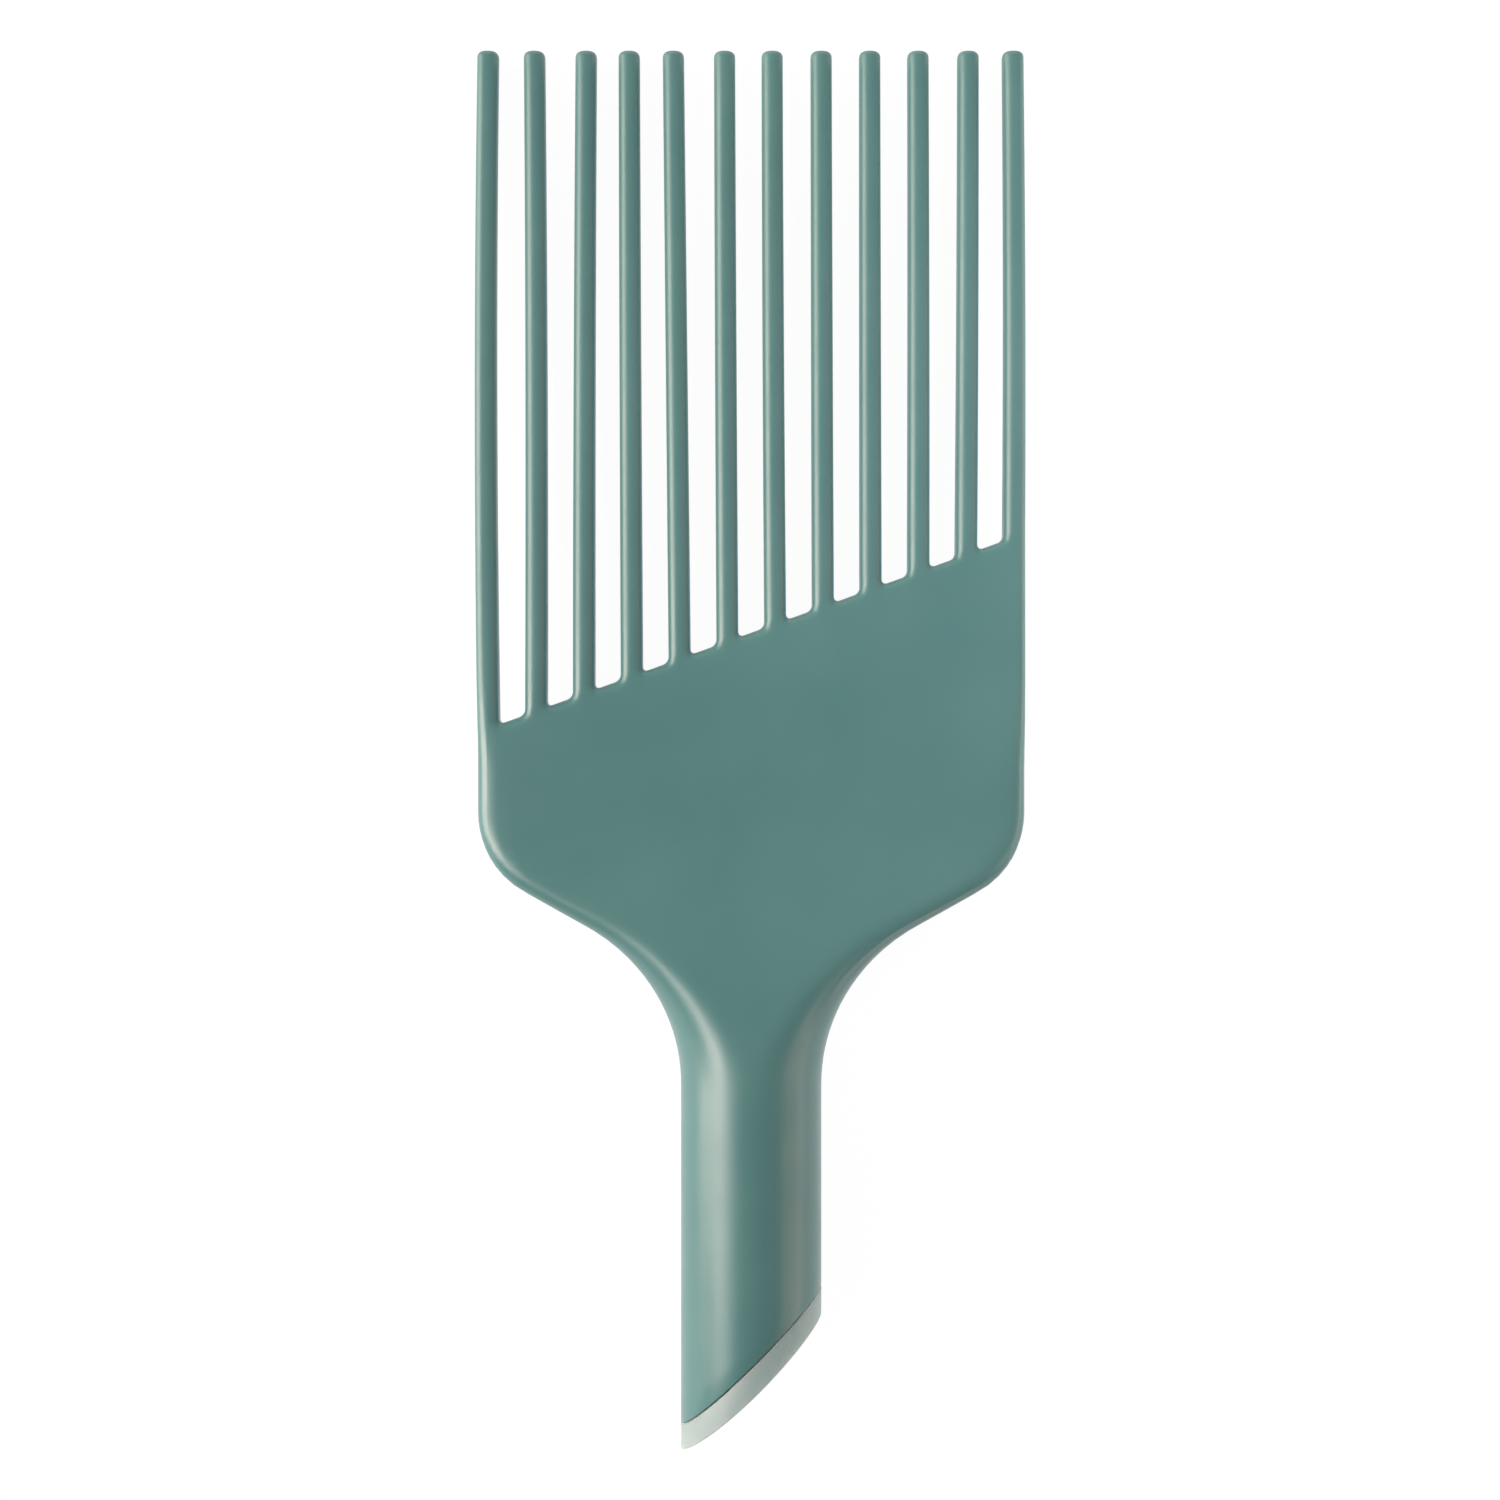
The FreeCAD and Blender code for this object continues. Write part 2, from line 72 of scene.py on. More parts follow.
# %% [markdown]
# ## The comb as a flat pattern
#
# The comb changes from a flat board to a round bar along its neck, and it has twelve tines. It could be cut
# out of a block with booleans, but their cuts leave a messy surface that shades badly. Instead it is made as a
# tailor makes a sleeve: first a flat sheet of even quads, with one column of vertices along each side and the
# middle of every tine and one down the middle of every gap. The sheet is only the front half of the comb. Its
# top edge follows the slanted line of tine roots, and its rows turn level towards the neck.

# %% Columns of the sheet
TINES = 12
WIDTH = 90.0
TINE_WIDTH = 3.62
PITCH = (WIDTH - TINE_WIDTH) / (TINES - 1)
GAP_WIDTH = PITCH - TINE_WIDTH
tine_centres = [(number - (TINES - 1) / 2) * PITCH for number in range(TINES)]
columns = []
for centre in tine_centres:
    columns += [centre - TINE_WIDTH / 2, centre, centre + TINE_WIDTH / 2, centre + PITCH / 2]
columns.pop()
print(len(columns), "columns, tines", TINE_WIDTH, "mm wide, gaps", round(GAP_WIDTH, 2), "mm wide")

# %% Rows of the sheet
GRIP_LENGTH = 44.2
GRIP_ROWS = 12
NECK_LENGTH = 44.72
NECK_ROWS = 30
ROOT_HEIGHT = 74.22
ROOT_SLOPE = math.tan(math.radians(20))
SLANTED_ROWS = 6
grip_rows = [-GRIP_LENGTH * (1 - step / GRIP_ROWS) for step in range(GRIP_ROWS)]
neck_rows = [NECK_LENGTH * step / NECK_ROWS for step in range(NECK_ROWS + 1)]
level_rows = grip_rows + neck_rows


def root_line(x):
    """Height of the line of tine roots at a place across the comb."""
    return ROOT_HEIGHT + x * ROOT_SLOPE


print(len(level_rows), "level rows and", SLANTED_ROWS, "that lean into the root line")

# %% The sheet itself
HALF_DEPTH = 3.0
comb = bmesh.new()
row_count = len(level_rows) + SLANTED_ROWS
bmesh.ops.create_grid(comb, x_segments=len(columns) - 1, y_segments=row_count - 1, size=1)
for vert in comb.verts:
    column = round((vert.co.x + 1) / 2 * (len(columns) - 1))
    row = round((vert.co.y + 1) / 2 * (row_count - 1))
    x = columns[column]
    lean = max(0, row - len(level_rows) + 1) / SLANTED_ROWS
    level = level_rows[min(row, len(level_rows) - 1)]
    vert.co = (x, level + (root_line(x) - level) * lean, HALF_DEPTH)
print(len(comb.faces), "quads in the sheet")

# %% [markdown]
# ## Gaps with rounded corners
#
# The bottom of each gap runs along the slanted root line and has small round corners, as the mould's blades
# have. A vertex bevel would take material away there, but a corner of a gap needs some added. So the edges at
# the bottom are subdivided, which leaves the faces below them whole, and the new vertices are set on a quarter
# circle.

# %% Find the bottoms of the gaps
CLOSE = 0.001
LAST_GAP = (TINES - 2) // 2


def gap_offset(x):
    """How far a place across the comb lies from the middle of the nearest gap."""
    return x - max(-LAST_GAP, min(LAST_GAP, round(x / PITCH))) * PITCH


def in_gap(vert):
    return abs(gap_offset(vert.co.x)) < GAP_WIDTH / 2 + CLOSE


def on_root_line(vert):
    return abs(vert.co.y - root_line(vert.co.x)) < CLOSE


root_edges = [e for e in comb.edges if all(map(on_root_line, e.verts))]
gap_bottoms = [e for e in root_edges if all(map(in_gap, e.verts))]
tine_roots = [e for e in root_edges if e not in gap_bottoms]
print(len(gap_bottoms) // 2, "gaps between", len(tine_roots) // 2, "tine roots")

# %% Round the bottom of every gap
ARC_STEPS = 4
GAP_CORNER = 0.9


def corner_arc(distance):
    """Place on the quarter circle of the vertex at a distance from the corner, one of even steps to mid gap."""
    step = round(distance / (GAP_WIDTH / 2 / (ARC_STEPS + 1)))
    angle = min(1, step / ARC_STEPS) * math.pi / 2
    return GAP_CORNER * (1 - math.cos(angle)), GAP_CORNER * (1 - math.sin(angle))


bmesh.ops.subdivide_edges(comb, edges=gap_bottoms, cuts=ARC_STEPS, use_single_edge=False)
rounded = 0
for vert in [v for v in comb.verts if on_root_line(v) and in_gap(v)]:
    offset = gap_offset(vert.co.x)
    distance = GAP_WIDTH / 2 - abs(offset)
    if distance < GAP_WIDTH / 2 - CLOSE:
        across, lift = corner_arc(distance)
        vert.co.x += math.copysign(GAP_WIDTH / 2 - across, offset) - offset
        vert.co.y = root_line(vert.co.x) + lift
        rounded += 1
print(rounded, "vertices set on round corners")

# %% Clear the way for wide bevels
root_verts = list(dict.fromkeys(v for e in tine_roots for v in e.verts))
for vert in root_verts:
    if not in_gap(vert):
        vert.co.y += GAP_CORNER
below_corners = []
for vert in filter(in_gap, root_verts):
    for edge in vert.link_edges:
        other = edge.other_vert(vert)
        if abs(other.co.x - vert.co.x) < CLOSE and other.co.y < vert.co.y:
            below_corners.append(edge)
bmesh.ops.dissolve_edges(comb, edges=below_corners, use_verts=False)
print(len(below_corners), "edges below the corners dissolved")

# %% [markdown]
# ## Tines
#
# Each tine is a long straight finger. It could be a bar of its own, but then a seam would show at its root. So
# its root edges are extruded upwards in equal steps, which gives enough rows to bend it a little later. The
# tips stay open until the tines have their depth.

# %% Extrude the tines
TINE_ROWS = 14
TIP_CORNER = 0.9
tine_end = TIP_HEIGHT - TIP_CORNER


def extrude_loop(mesh, edges):
    """Extrude loops of edges and give back their new edges and vertices."""
    geom = bmesh.ops.extrude_edge_only(mesh, edges=edges)["geom"]
    verts = [item for item in geom if isinstance(item, bmesh.types.BMVert)]
    new = set(verts)
    return [item for item in geom if isinstance(item, bmesh.types.BMEdge) and set(item.verts) <= new], verts


growing = tine_roots
for step in range(TINE_ROWS):
    growing, tops = extrude_loop(comb, growing)
    for vert in tops:
        vert.co.y += (tine_end - vert.co.y) / (TINE_ROWS - step)
print(len(comb.faces), "faces with the tines")

# %% [markdown]
# ## Walls and soft edges
#
# The border of the sheet is extruded down to the middle of the comb, where the two halves of the mould meet.
# Then the sharp edge is bevelled with several segments. A Bevel modifier would round every edge alike, but the
# tines are almost round in front. So the edges along the gaps get a wide bevel here and the outside of the
# comb a narrow one, each with a profile of 0.5, which is a true quarter circle. Mirroring the half across the
# mould's parting plane gives the whole board. It is still open at the tips and at the grip's end.

# %% Walls down to the parting plane
border = []
for edge in comb.edges:
    heights = [v.co.y for v in edge.verts]
    at_end = max(heights) < -GRIP_LENGTH + CLOSE or min(heights) > tine_end - CLOSE
    if edge.is_boundary and not at_end:
        border.append(edge)
outside = [e for e in border if min(abs(v.co.x) for v in e.verts) > WIDTH / 2 - CLOSE]
inside = [e for e in border if e not in outside]
_, wall_feet = extrude_loop(comb, border)
for vert in wall_feet:
    vert.co.z = 0
print(len(outside), "edges outside,", len(inside), "along the gaps")

# %% Soft edges and the second half
RIM_EDGE = 1.4
RIM_STEPS = 6
TINE_EDGE = 1.65
TINE_EDGE_STEPS = 7
SEAM = 0.0005


def round_edges(mesh, edges, radius, steps):
    """Bevel edges to a quarter circle."""
    bmesh.ops.bevel(
        mesh, geom=edges, offset=radius, offset_type="OFFSET", segments=steps, profile=0.5, affect="EDGES",
        clamp_overlap=False, loop_slide=True, material=-1,
    )


def count_open(mesh):
    return sum(edge.is_boundary for edge in mesh.edges)


round_edges(comb, outside, RIM_EDGE, RIM_STEPS)
round_edges(comb, inside, TINE_EDGE, TINE_EDGE_STEPS)
bmesh.ops.mirror(comb, geom=comb.verts[:] + comb.edges[:] + comb.faces[:], merge_dist=SEAM, axis="Z")
bmesh.ops.recalc_face_normals(comb, faces=comb.faces[:])
print(len(comb.faces), "faces,", count_open(comb), "open edges at the ends")

# %% [markdown]
# ## From board to round grip
#
# Now the board is wrapped into its real shape. At every height the comb has a section: a flat front, a rounded
# corner and a short side. Down the neck the section gets narrower and deeper while its corners grow, until
# they meet in the grip's circle. Bridging an oblong loop to a round one would crowd the quads at the corners.
# Instead think of a tape laid across the front from the middle to the side. A vertex keeps its share of that
# tape while the section under it changes, so the quads stay even all the way.

# %% The outline and the depth of the comb
SHOULDER_RADIUS = 14.8
HOLLOW_RADIUS = 29.65
SLANT = math.radians(61)
arcs_across = (SHOULDER_RADIUS + HOLLOW_RADIUS) * (1 - math.cos(SLANT))
slant_run = (WIDTH / 2 - GRIP_RADIUS - arcs_across) / math.sin(SLANT)
hollow_top = HOLLOW_RADIUS * math.sin(SLANT)


def ease(share):
    """A smooth step from 0 to 1."""
    share = max(0.0, min(1.0, share))
    return share * share * (3 - 2 * share)


def outline(y):
    """Half the comb's width at a height, and how fast it widens there."""
    if y <= 0:
        return GRIP_RADIUS, 0.0
    if y >= NECK_LENGTH:
        return WIDTH / 2, 0.0
    if y < hollow_top:
        drop = math.sqrt(HOLLOW_RADIUS ** 2 - y ** 2)
        return GRIP_RADIUS + HOLLOW_RADIUS - drop, y / drop
    if y < hollow_top + slant_run * math.cos(SLANT):
        start = GRIP_RADIUS + HOLLOW_RADIUS * (1 - math.cos(SLANT))
        return start + (y - hollow_top) * math.tan(SLANT), math.tan(SLANT)
    below = NECK_LENGTH - y
    drop = math.sqrt(SHOULDER_RADIUS ** 2 - below ** 2)
    return WIDTH / 2 - SHOULDER_RADIUS + drop, below / drop


def half_depth(y):
    """Half the comb's depth at a height."""
    if y >= NECK_LENGTH:
        return HALF_DEPTH + (HALF_TIP_DEPTH - HALF_DEPTH) * (y - NECK_LENGTH) / (TIP_HEIGHT - NECK_LENGTH)
    return HALF_DEPTH + (GRIP_RADIUS - HALF_DEPTH) * ease(1 - y / NECK_LENGTH)


print("neck from", WIDTH, "mm wide to", 2 * GRIP_RADIUS, "mm round over", NECK_LENGTH, "mm")

# %% The section at a height
PADDLE_EDGE = 2.9
EDGE_TOP = 64.8
EDGE_RUN = 14.8
ROUND_SHARE = 0.72


def corner(y):
    """Width and height of the oval corner of the section at a height, and the angle that it turns through."""
    width, flare = outline(y)
    depth = half_depth(y)
    tall = RIM_EDGE + (PADDLE_EDGE - RIM_EDGE) * ease((EDGE_TOP - y) / EDGE_RUN)
    tall += (GRIP_RADIUS - PADDLE_EDGE) * ease(1 - y / (NECK_LENGTH * ROUND_SHARE))
    wide = max(tall, min(tall * math.hypot(1, flare), width))
    return wide, tall, math.acos(max(0.0, 1 - depth / tall))


def tape(y):
    """Lengths along the tape at a height: over the flat front, round the corner and down the side."""
    wide, tall, turned = corner(y)
    flat = outline(y)[0] - wide * math.sin(turned)
    return flat, turned * math.sqrt((wide ** 2 + tall ** 2) / 2), max(0.0, half_depth(y) - tall)


def on_section(y, reach):
    """Place across and through the comb at a reach along the tape."""
    flat, bend, side = tape(y)
    wide, tall, turned = corner(y)
    if reach <= flat:
        return reach, half_depth(y)
    if reach <= flat + bend:
        angle = (reach - flat) / bend * turned
        return flat + wide * math.sin(angle), max(0.0, half_depth(y) - tall * (1 - math.cos(angle)))
    return outline(y)[0], max(0.0, side - (reach - flat - bend))


print("tape over the paddle:", round(sum(tape(NECK_LENGTH)), 2), "mm, grip:", round(sum(tape(0)), 2), "mm")

# %% Wrap the board
END_SLOPE = math.tan(math.radians(44.5))
# Up to the middle of the outermost tines the front of the paddle stays as it is.
held = tine_centres[-1]
board_tape = WIDTH / 2 - RIM_EDGE + RIM_EDGE * math.pi / 2 + HALF_DEPTH - RIM_EDGE


def board_reach(x, z):
    """Reach along the tape of a vertex on the flat board."""
    past = abs(x) - (WIDTH / 2 - RIM_EDGE)
    below = abs(z) - (HALF_DEPTH - RIM_EDGE)
    if past <= 0:
        return abs(x)
    if below <= 0:
        return WIDTH / 2 - RIM_EDGE + RIM_EDGE * math.pi / 2 - below
    return WIDTH / 2 - RIM_EDGE + RIM_EDGE * math.atan2(past, below)


def wrap(co):
    """Move a vertex from the flat board on to the comb."""
    x, y, z = co
    if y > EDGE_TOP or abs(z) < HALF_DEPTH - CLOSE and abs(x) < held:
        edge = RIM_EDGE if abs(x) > held else TINE_EDGE
        bend = max(0.0, abs(z) - (HALF_DEPTH - edge))
        wall = (abs(z) - bend) * (half_depth(y) - edge) / (HALF_DEPTH - edge)
        return Vector((x, y, math.copysign(wall + bend, z)))
    reach = board_reach(x, z)
    if reach > held:
        reach = held + (reach - held) * (sum(tape(max(y, NECK_LENGTH))) - held) / (board_tape - held)
    if y < NECK_LENGTH:
        reach *= sum(tape(y)) / sum(tape(NECK_LENGTH))
    across, through = on_section(y, reach)
    across = math.copysign(across, x)
    if y < 0:
        y += across * END_SLOPE * -y / GRIP_LENGTH
    return Vector((across, y, math.copysign(through, z)))


for vert in comb.verts:
    vert.co = wrap(vert.co)
print("board wrapped,", len(comb.verts), "vertices")

# %% [markdown]
# ## Tips and bent tines
#
# A tip is a flat end with a rounded edge. A bevel round the end would meet the tine's own long bevels in tight
# corners. So the open loop at the end of each tine is extruded in a few steps along a quarter circle,
# shrinking towards the tine's middle, and then filled. Long thin tines never come out of the mould quite
# straight: they cool unevenly and lean a little. Each one bends along a curve through two measured places, one
# at mid length and one at the tip, and gets slightly narrower on the way.

# %% Close the tips
TIP_STEPS = 4
half_tine = TINE_WIDTH / 2
half_tip = half_depth(tine_end)


def tine_of(x):
    """Number of the tine nearest to a place across the comb."""
    return max(0, min(TINES - 1, round(x / PITCH + (TINES - 1) / 2)))


def tip_arc(step):
    """How far a step on the tip's quarter circle lies in from the tine's side and up from its end."""
    angle = step / TIP_STEPS * math.pi / 2
    return TIP_CORNER * (1 - math.cos(angle)), TIP_CORNER * math.sin(angle)


loop = [e for e in comb.edges if e.is_boundary and e.verts[0].co.y > NECK_LENGTH]
inset_before = 0.0
for step in range(1, TIP_STEPS + 1):
    inset, rise = tip_arc(step)
    loop, verts = extrude_loop(comb, loop)
    for vert in verts:
        centre = tine_centres[tine_of(vert.co.x)]
        vert.co.x = centre + (vert.co.x - centre) * (half_tine - inset) / (half_tine - inset_before)
        vert.co.y = tine_end + rise
        vert.co.z *= (half_tip - inset) / (half_tip - inset_before)
    inset_before = inset
ends = bmesh.ops.edgeloop_fill(comb, edges=loop)["faces"]
print(len(ends), "tips closed")

# %% Bend the tines
MID_BEND = [-0.45, -0.06, 0.11, -0.30, -0.61, -0.30, -0.34, -0.17, -0.08, 0.04, 0.25, 0.09]
TIP_BEND = [-0.08, -0.33, 0.33, -0.45, -1.04, -0.46, -0.49, -0.28, -0.14, -0.05, 0.34, -0.18]
MID_HEIGHT = 129.0
TIP_NARROWER = 0.036
for vert in comb.verts:
    number = tine_of(vert.co.x)
    centre = tine_centres[number]
    root = root_line(centre) + GAP_CORNER
    share = (vert.co.y - root) / (TIP_HEIGHT - root)
    if share > 0 and abs(vert.co.x - centre) < half_tine + CLOSE:
        middle = (MID_HEIGHT - root) / (TIP_HEIGHT - root)
        curve = (MID_BEND[number] - TIP_BEND[number] * middle) / (middle * (middle - 1))
        bend = (TIP_BEND[number] - curve) * share + curve * share * share
        vert.co.x = centre + (vert.co.x - centre) * (1 - TIP_NARROWER * share) + bend
print("largest bend at a tip:", max(map(abs, TIP_BEND)), "mm")

# %% [markdown]
# ## The grip's mouth
#
# A thick solid grip would sink as it cools, so it is cored out from its slanted end. A boolean could drill the
# core, but the open end already has the loop that its wall starts from. The loop is extruded inwards along the
# slanted joint to the core's radius, then up inside the grip, and closed. Scaling about the point where the
# grip's axis meets the joint keeps the ring in the joint's plane. A small bevel breaks the outer edge. With
# the groove round the cap it makes the thin dark line of the joint.

# %% Wall and core of the grip
CORE_RADIUS = 8.95
CORE_END = -2.2
JOINT_EDGE = 0.15
JOINT_STEPS = 3
mouth = [e for e in comb.edges if e.is_boundary]
from_joint = Matrix.Translation((0, GRIP_LENGTH, 0))
shrink = CORE_RADIUS / GRIP_RADIUS
core_mouth, core_verts = extrude_loop(comb, mouth)
bmesh.ops.scale(comb, vec=(shrink, shrink, shrink), space=from_joint, verts=core_verts)
core_top, core_verts = extrude_loop(comb, core_mouth)
for vert in core_verts:
    vert.co.y = CORE_END
bmesh.ops.edgeloop_fill(comb, edges=core_top)
round_edges(comb, mouth, JOINT_EDGE, JOINT_STEPS)
bmesh.ops.recalc_face_normals(comb, faces=comb.faces[:])
print("open edges left:", count_open(comb))

# %% Lay the comb on the table


def make_object(mesh, name):
    """Turn a bmesh into an object at the origin."""
    data = bpy.data.meshes.new(name)
    mesh.to_mesh(data)
    mesh.free()
    made = bpy.data.objects.new(name, data)
    bpy.context.collection.objects.link(made)
    return made


def finish_piece(mesh, name, node):
    """Lay a mesh on the table and make it a smooth piece that stands for a CAD node."""
    bmesh.ops.transform(mesh, matrix=lay_down, verts=mesh.verts[:])
    for face in mesh.faces:
        face.smooth = True
    piece = make_object(mesh, name)
    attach(piece, "root")
    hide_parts(node)
    places = [v.co for v in piece.data.vertices]
    sizes = [max(co[axis] for co in places) - min(co[axis] for co in places) for axis in range(3)]
    print(f"{name}: {len(places)} vertices,", " x ".join(f"{size / MM:.2f}" for size in sizes), "mm")
    return piece


comb_piece = finish_piece(comb, "teal_comb", "comb_moulding")

# %% [markdown]
# ## The cap
#
# The cap is a thick disc that carries on the grip's round side. Its outer face is slightly crowned, and a short
# tube on the inside plugs the core. Round the rim its inner face stands back from the slanted joint, which
# leaves a narrow shadow groove, and a ledge inside the groove lies on the grip's wall. A slice cut from a
# cylinder would give the disc but not the rest. So a circle is sheared into the joint's plane and extruded
# loop by loop: along the side, over the crown to the middle, and on the other end over the ledge and the tube.

# %% Side and crown of the cap
CAP_SEGMENTS = 144
CAP_RIM = 4.3
CAP_CROWN = 0.75
CAP_SWELL = 0.3
CROWN_SHARES = (0.93, 0.8, 0.6, 0.4, 0.2)
GROOVE = 0.3


def joint_height(x):
    """Height of the slanted joint at a place across the grip."""
    return x * END_SLOPE - GRIP_LENGTH


def crown_height(x):
    """Height of the cap's outer face at a place across the grip."""
    across = x / GRIP_RADIUS
    return joint_height(x) - CAP_RIM - CAP_SWELL * (1 + across) - CAP_CROWN * (1 - across ** 2)


def set_radius(verts, radius):
    """Bring vertices to a radius round the grip's axis."""
    for vert in verts:
        size = radius / math.hypot(vert.co.x, vert.co.z)
        vert.co.x *= size
        vert.co.z *= size


cap = bmesh.new()
upright = Matrix.Rotation(math.radians(90), 4, "X")
bmesh.ops.create_circle(cap, segments=CAP_SEGMENTS, radius=GRIP_RADIUS, matrix=upright)
joint_loop = cap.edges[:]
for vert in cap.verts:
    vert.co.y = joint_height(vert.co.x) - GROOVE
rim_loop, verts = extrude_loop(cap, joint_loop)
for vert in verts:
    vert.co.y = crown_height(vert.co.x)
loop = rim_loop
for share in CROWN_SHARES:
    loop, verts = extrude_loop(cap, loop)
    set_radius(verts, GRIP_RADIUS * share)
    for vert in verts:
        vert.co.y = crown_height(vert.co.x)
bmesh.ops.edgeloop_fill(cap, edges=loop)
print("cap", round(CAP_RIM + CAP_SWELL + CAP_CROWN, 2), "mm thick in the middle")

# %% Ledge and plug of the cap
GROOVE_REACH = 1.6
PLUG_RADIUS = 8.87
PLUG_WALL = 1.8
PLUG_LENGTH = 7.0
ledge_radius = GRIP_RADIUS - GROOVE_REACH
plug_bore = PLUG_RADIUS - PLUG_WALL
plug_steps = (
    (ledge_radius, -GROOVE), (ledge_radius, 0),
    (PLUG_RADIUS, 0), (PLUG_RADIUS, PLUG_LENGTH), (plug_bore, PLUG_LENGTH), (plug_bore, 0),
)
loop = joint_loop
for radius, lift in plug_steps:
    loop, verts = extrude_loop(cap, loop)
    set_radius(verts, radius)
    for vert in verts:
        vert.co.y = joint_height(vert.co.x) + lift
bmesh.ops.edgeloop_fill(cap, edges=loop)
print("plug", 2 * PLUG_RADIUS, "mm across and", PLUG_LENGTH, "mm long")

# %% Soft edges of the cap
CAP_RIM_EDGE = 0.3
CAP_RIM_STEPS = 4
CAP_JOINT_EDGE = 0.1
CAP_JOINT_STEPS = 2
round_edges(cap, rim_loop, CAP_RIM_EDGE, CAP_RIM_STEPS)
round_edges(cap, joint_loop, CAP_JOINT_EDGE, CAP_JOINT_STEPS)
bmesh.ops.recalc_face_normals(cap, faces=cap.faces[:])
print("open edges left:", count_open(cap))
cap_piece = finish_piece(cap, "frosted_cap", "end_cap")

# %% [markdown]
# ## Teal satin plastic
#
# The comb's plastic is one dull blue-green all through, with a satin surface: broad, soft highlights. One flat
# colour would look like a drawing, because under a lens a moulding is never quite even. Its colour flows a
# little, its gloss varies where it left the mould, and its surface has a very fine ripple. Three noises on
# Object coordinates give these: a large one for the colour, a middle one for the roughness and a fine one for
# the bump. The tines are a little duller than the paddle, so roughness is added across the slanted root line.

# %% Material helpers
NOISE_MIDDLE = (0.3, 0.7)
BUMP_STRENGTH = 0.25


def new_material(name):
    material = bpy.data.materials.new(name)
    material.use_nodes = True
    return material, material.node_tree.nodes, material.node_tree.links


def own_place(nodes):
    """Coordinates in the piece's own space."""
    return nodes.new("ShaderNodeTexCoord").outputs["Object"]


def add_noise(nodes, links, scale, detail):
    """A noise in the piece's own space."""
    noise = nodes.new("ShaderNodeTexNoise")
    noise.inputs["Scale"].default_value = scale
    noise.inputs["Detail"].default_value = detail
    links.new(own_place(nodes), noise.inputs["Vector"])
    return noise.outputs["Fac"]


def map_range(nodes, links, source, start, end, low, high):
    """Map a value from one range to another."""
    span = nodes.new("ShaderNodeMapRange")
    span.inputs["From Min"].default_value = start
    span.inputs["From Max"].default_value = end
    span.inputs["To Min"].default_value = low
    span.inputs["To Max"].default_value = high
    links.new(source, span.inputs["Value"])
    return span.outputs["Result"]


def spread(nodes, links, noise, low, high):
    """Map the middle of a noise to a range."""
    return map_range(nodes, links, noise, *NOISE_MIDDLE, low, high)


def mix_colours(nodes, links, factor, first, second):
    """A mix from a first to a second colour."""
    mix = nodes.new("ShaderNodeMix")
    mix.data_type = "RGBA"
    mix.inputs["A"].default_value = (*first, 1)
    mix.inputs["B"].default_value = (*second, 1)
    links.new(factor, mix.inputs["Factor"])
    return mix


def add_math(nodes, links, operation, first, second):
    """Combine two values with a Math node."""
    combined = nodes.new("ShaderNodeMath")
    combined.operation = operation
    links.new(first, combined.inputs[0])
    links.new(second, combined.inputs[1])
    return combined.outputs["Value"]


def add_bump(nodes, links, height, distance):
    bump = nodes.new("ShaderNodeBump")
    bump.inputs["Strength"].default_value = BUMP_STRENGTH
    bump.inputs["Distance"].default_value = distance
    links.new(height, bump.inputs["Height"])
    return bump.outputs["Normal"]


print("noises are spread from", *NOISE_MIDDLE)

# %% Colour and ripple of the teal plastic
TEAL_DARK = (0.066, 0.180, 0.183)
TEAL_LIGHT = (0.079, 0.200, 0.199)
RIPPLE_DEPTH = 0.04 * MM
teal, nodes, links = new_material("teal_satin_plastic")
shader = nodes["Principled BSDF"]
shader.inputs["Specular IOR Level"].default_value = 0.75
flow = spread(nodes, links, add_noise(nodes, links, scale=45, detail=3), 0, 1)
flowing = mix_colours(nodes, links, flow, TEAL_DARK, TEAL_LIGHT)
links.new(flowing.outputs["Result"], shader.inputs["Base Color"])
ripple = add_noise(nodes, links, scale=900, detail=2)
links.new(add_bump(nodes, links, ripple, RIPPLE_DEPTH), shader.inputs["Normal"])
comb_piece.data.materials.append(teal)
print(teal.name, "on", comb_piece.name)

# %% Gloss of the teal plastic
ROUGHNESS = (0.29, 0.36)
TINE_ROUGHER = 0.09
ROUGHER_FROM = ROOT_HEIGHT - 2
ROUGHER_TO = ROOT_HEIGHT + 6
uneven = spread(nodes, links, add_noise(nodes, links, scale=160, detail=4), *ROUGHNESS)
along = nodes.new("ShaderNodeVectorMath")
along.operation = "DOT_PRODUCT"
along.inputs[1].default_value = (-ROOT_SLOPE, 1, 0)
links.new(own_place(nodes), along.inputs[0])
start, end = [(lay_down @ Vector((0, height, 0))).y for height in (ROUGHER_FROM, ROUGHER_TO)]
rougher = map_range(nodes, links, along.outputs["Value"], start, end, 0, TINE_ROUGHER)
links.new(add_math(nodes, links, "ADD", uneven, rougher), shader.inputs["Roughness"])
print("roughness", *ROUGHNESS, "and up to", TINE_ROUGHER, "more on the tines")
